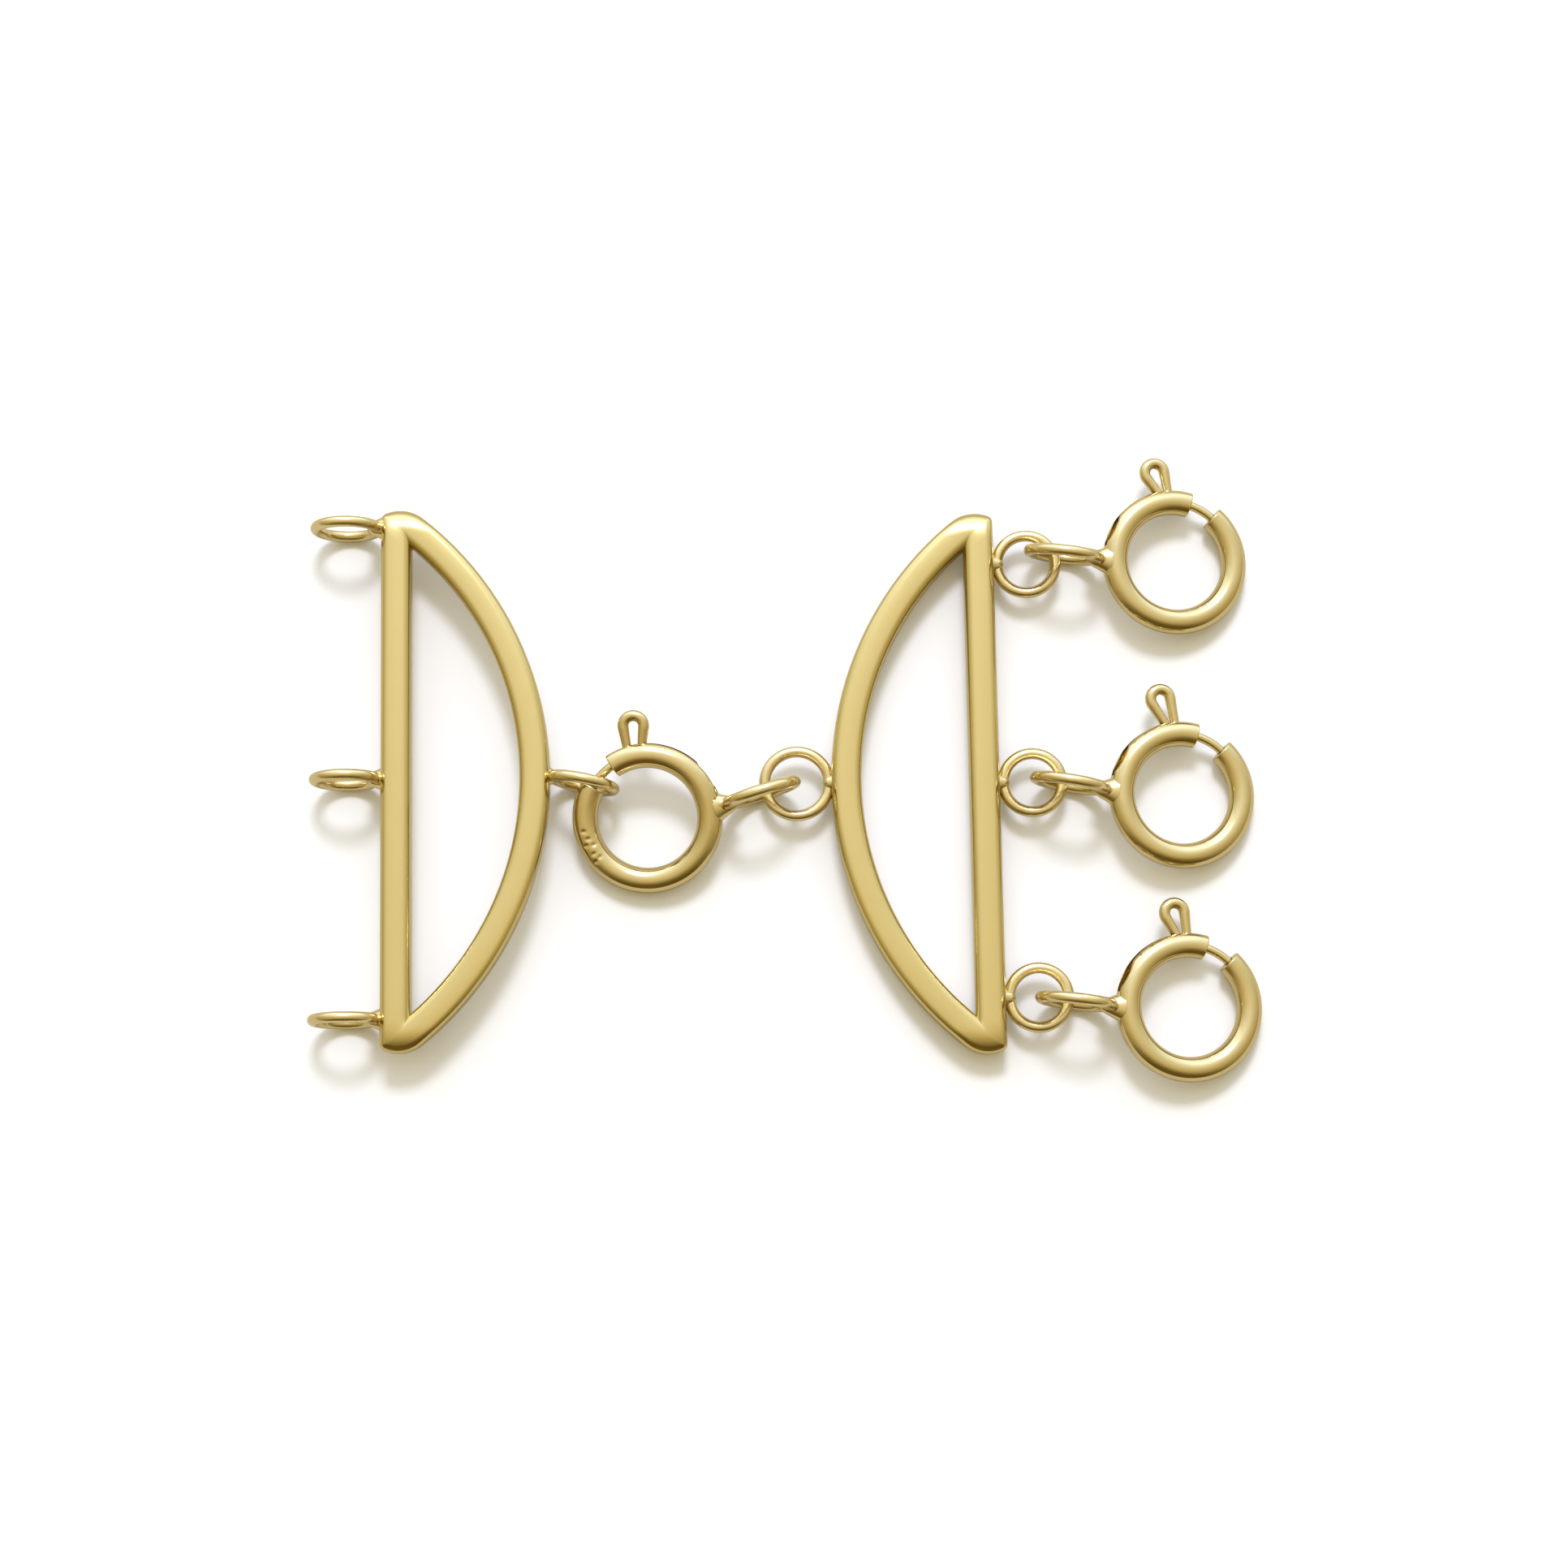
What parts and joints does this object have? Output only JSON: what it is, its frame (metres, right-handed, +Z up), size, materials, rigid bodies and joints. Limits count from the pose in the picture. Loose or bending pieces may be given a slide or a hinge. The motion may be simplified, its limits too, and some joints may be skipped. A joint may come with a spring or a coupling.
{
  "type": "layering clasp",
  "caption": "Yellow gold layering clasp for wearing several necklaces without tangling: D-shaped wire frames with soldered eyes, joined by a bolt ring, and bolt rings for the chains.",
  "frame": {"origin": "Middle of the clasp's outline seen from above, on the surface it lies on", "axes": "+X from the left frame's eyes to the right-hand bolt rings, +Y up along the bars, +Z up from the surface"},
  "size_m": [0.0395, 0.0263, 0.0035],
  "materials": {
    "satin_gold": "14k yellow gold, softly brushed flats with polished rounded edges",
    "polished_gold": "14k yellow gold, polished"
  },
  "bodies": {
    "clasp": {"left_frame": "satin_gold", "right_frame": "satin_gold", "bolt_ring_centre": "polished_gold", "bolt_ring_top": "polished_gold", "bolt_ring_middle": "polished_gold", "bolt_ring_bottom": "polished_gold"},
    "latch_centre_body": {"latch_centre": "polished_gold"},
    "latch_top_body": {"latch_top": "polished_gold"},
    "latch_middle_body": {"latch_middle": "polished_gold"},
    "latch_bottom_body": {"latch_bottom": "polished_gold"}
  },
  "joints": [
    {"name": "latch_centre_slide", "type": "hinge", "parent": "clasp", "child": "latch_centre_body", "pos_m": [-0.00558, -0.00216, 0.0012], "axis": [0.0652, 0.2327, -0.9704], "range_deg": [0, 31], "stiffness_Nm_per_rad": 0.003, "springref_deg": -17.19},
    {"name": "latch_top_slide", "type": "hinge", "parent": "clasp", "child": "latch_top_body", "pos_m": [0.01644, 0.00874, 0.00094], "axis": [0.1644, -0.008, 0.9864], "range_deg": [0, 29.7], "stiffness_Nm_per_rad": 0.003, "springref_deg": -17.19},
    {"name": "latch_middle_slide", "type": "hinge", "parent": "clasp", "child": "latch_middle_body", "pos_m": [0.01655, -0.00115, 0.00094], "axis": [0.1639, -0.0158, 0.9864], "range_deg": [0, 32.8], "stiffness_Nm_per_rad": 0.003, "springref_deg": -17.19},
    {"name": "latch_bottom_slide", "type": "hinge", "parent": "clasp", "child": "latch_bottom_body", "pos_m": [0.01666, -0.00998, 0.00094], "axis": [0.1644, -0.0089, 0.9864], "range_deg": [0, 30.8], "stiffness_Nm_per_rad": 0.003, "springref_deg": -17.19}
  ]
}
